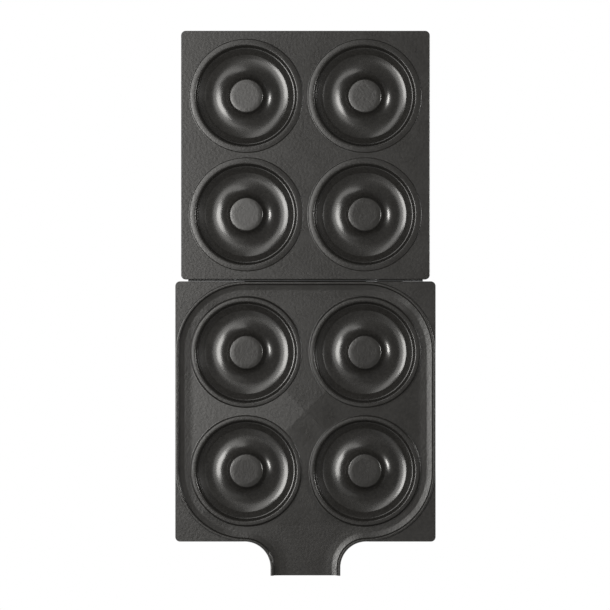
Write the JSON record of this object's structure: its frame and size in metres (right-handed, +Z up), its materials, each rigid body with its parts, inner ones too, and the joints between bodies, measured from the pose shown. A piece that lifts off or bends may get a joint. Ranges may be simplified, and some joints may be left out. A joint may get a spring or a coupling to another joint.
{
  "type": "electric donut maker",
  "caption": "Hinged electric donut maker opened flat, with two lift-off cast plates of ring-shaped cavities and a drain spout at the front.",
  "frame": {"origin": "middle of the rectangle the object stands on, at the level of its feet", "axes": "+X to the right, +Y from the front towards the opened lid, +Z up"},
  "size_m": [0.2308, 0.4832, 0.0627],
  "materials": {
    "nonstick_cast": "cast aluminium with a satin charcoal non-stick coating, fine grain",
    "shell": "fine-textured charcoal moulded plastic",
    "cover": "plain black moulded plastic",
    "reflector_sheet": "bright rolled sheet",
    "heater_sheath": "heat-tinted satin tube",
    "steel": "zinc-plated steel",
    "black_steel": "black satin-coated steel",
    "rubber": "matte moulded rubber",
    "ceramic": "unglazed cream ceramic",
    "brass": "plain brass",
    "silicone": "smooth silicone lead jacket",
    "button": "mid-grey moulded plastic",
    "red_lens": "translucent moulded lens",
    "green_lens": "translucent moulded lens"
  },
  "bodies": {
    "base": {"base_housing": "shell", "base_bottom_cover": "cover", "power_inlet": "cover", "base_reflector": "reflector_sheet", "base_heater": "heater_sheath", "base_heater_strap_left": "steel", "base_heater_strap_right": "steel", "base_thermal_fuse": "steel", "base_catch_spring": "steel", "base_hook_bracket": "steel", "foot_screw_front_left": "steel", "foot_screw_front_right": "steel", "foot_screw_rear_left": "steel", "foot_screw_rear_right": "steel", "base_hinge_screw_left": "steel", "base_hinge_screw_middle": "steel", "base_hinge_screw_right": "steel", "base_hinge_leaf": "black_steel", "hinge_pin": "black_steel", "foot_front_left": "rubber", "foot_front_right": "rubber", "foot_rear_left": "rubber", "foot_rear_right": "rubber", "base_lead_grommet": "rubber", "base_thermostat": "ceramic", "terminal_block": "ceramic", "inlet_pin_line": "brass", "inlet_pin_neutral": "brass", "inlet_pin_earth": "brass", "jumper_lead": "silicone"},
    "base_catch": {"base_catch_slider": "button"},
    "lower_plate": {"lower_plate": "nonstick_cast"},
    "lid": {"lid_housing": "shell", "lid_reflector": "reflector_sheet", "lid_heater": "heater_sheath", "lid_heater_strap_left": "steel", "lid_heater_strap_right": "steel", "lid_thermal_cutout": "ceramic", "lid_catch_spring": "steel", "lid_hook_bracket": "steel", "lid_handle": "shell", "handle_screw_left": "steel", "handle_screw_right": "steel", "handle_pad_left": "rubber", "handle_pad_right": "rubber", "power_lamp_lens": "red_lens", "ready_lamp_lens": "green_lens", "lid_hinge_leaf": "black_steel", "lid_hinge_screw_left": "steel", "lid_hinge_screw_middle": "steel", "lid_hinge_screw_right": "steel", "lid_lead_grommet": "rubber"},
    "lid_catch": {"lid_catch_slider": "button"},
    "upper_plate": {"upper_plate": "nonstick_cast"}
  },
  "joints": [
    {"name": "lid_hinge", "type": "hinge", "parent": "base", "child": "lid", "pos_m": [0, 0.0202, 0.062], "axis": [-1, 0, 0], "range_deg": [-180, 0], "deforming": ["jumper_lead"]},
    {"name": "lower_plate_lift", "type": "slide", "parent": "base", "child": "lower_plate", "axis": [0, 0, 1], "range_m": [0, 0.06]},
    {"name": "upper_plate_lift", "type": "slide", "parent": "lid", "child": "upper_plate", "axis": [0, 0, 1], "range_m": [0, 0.06]},
    {"name": "base_catch_press", "type": "slide", "parent": "base", "child": "base_catch", "axis": [1, 0, 0], "range_m": [0, 0.003], "stiffness_N_per_m": 400, "springref_m": -0.003, "deforming": ["base_catch_spring"]},
    {"name": "lid_catch_press", "type": "slide", "parent": "lid", "child": "lid_catch", "axis": [-1, 0, 0], "range_m": [0, 0.003], "stiffness_N_per_m": 400, "springref_m": -0.003, "deforming": ["lid_catch_spring"]}
  ]
}
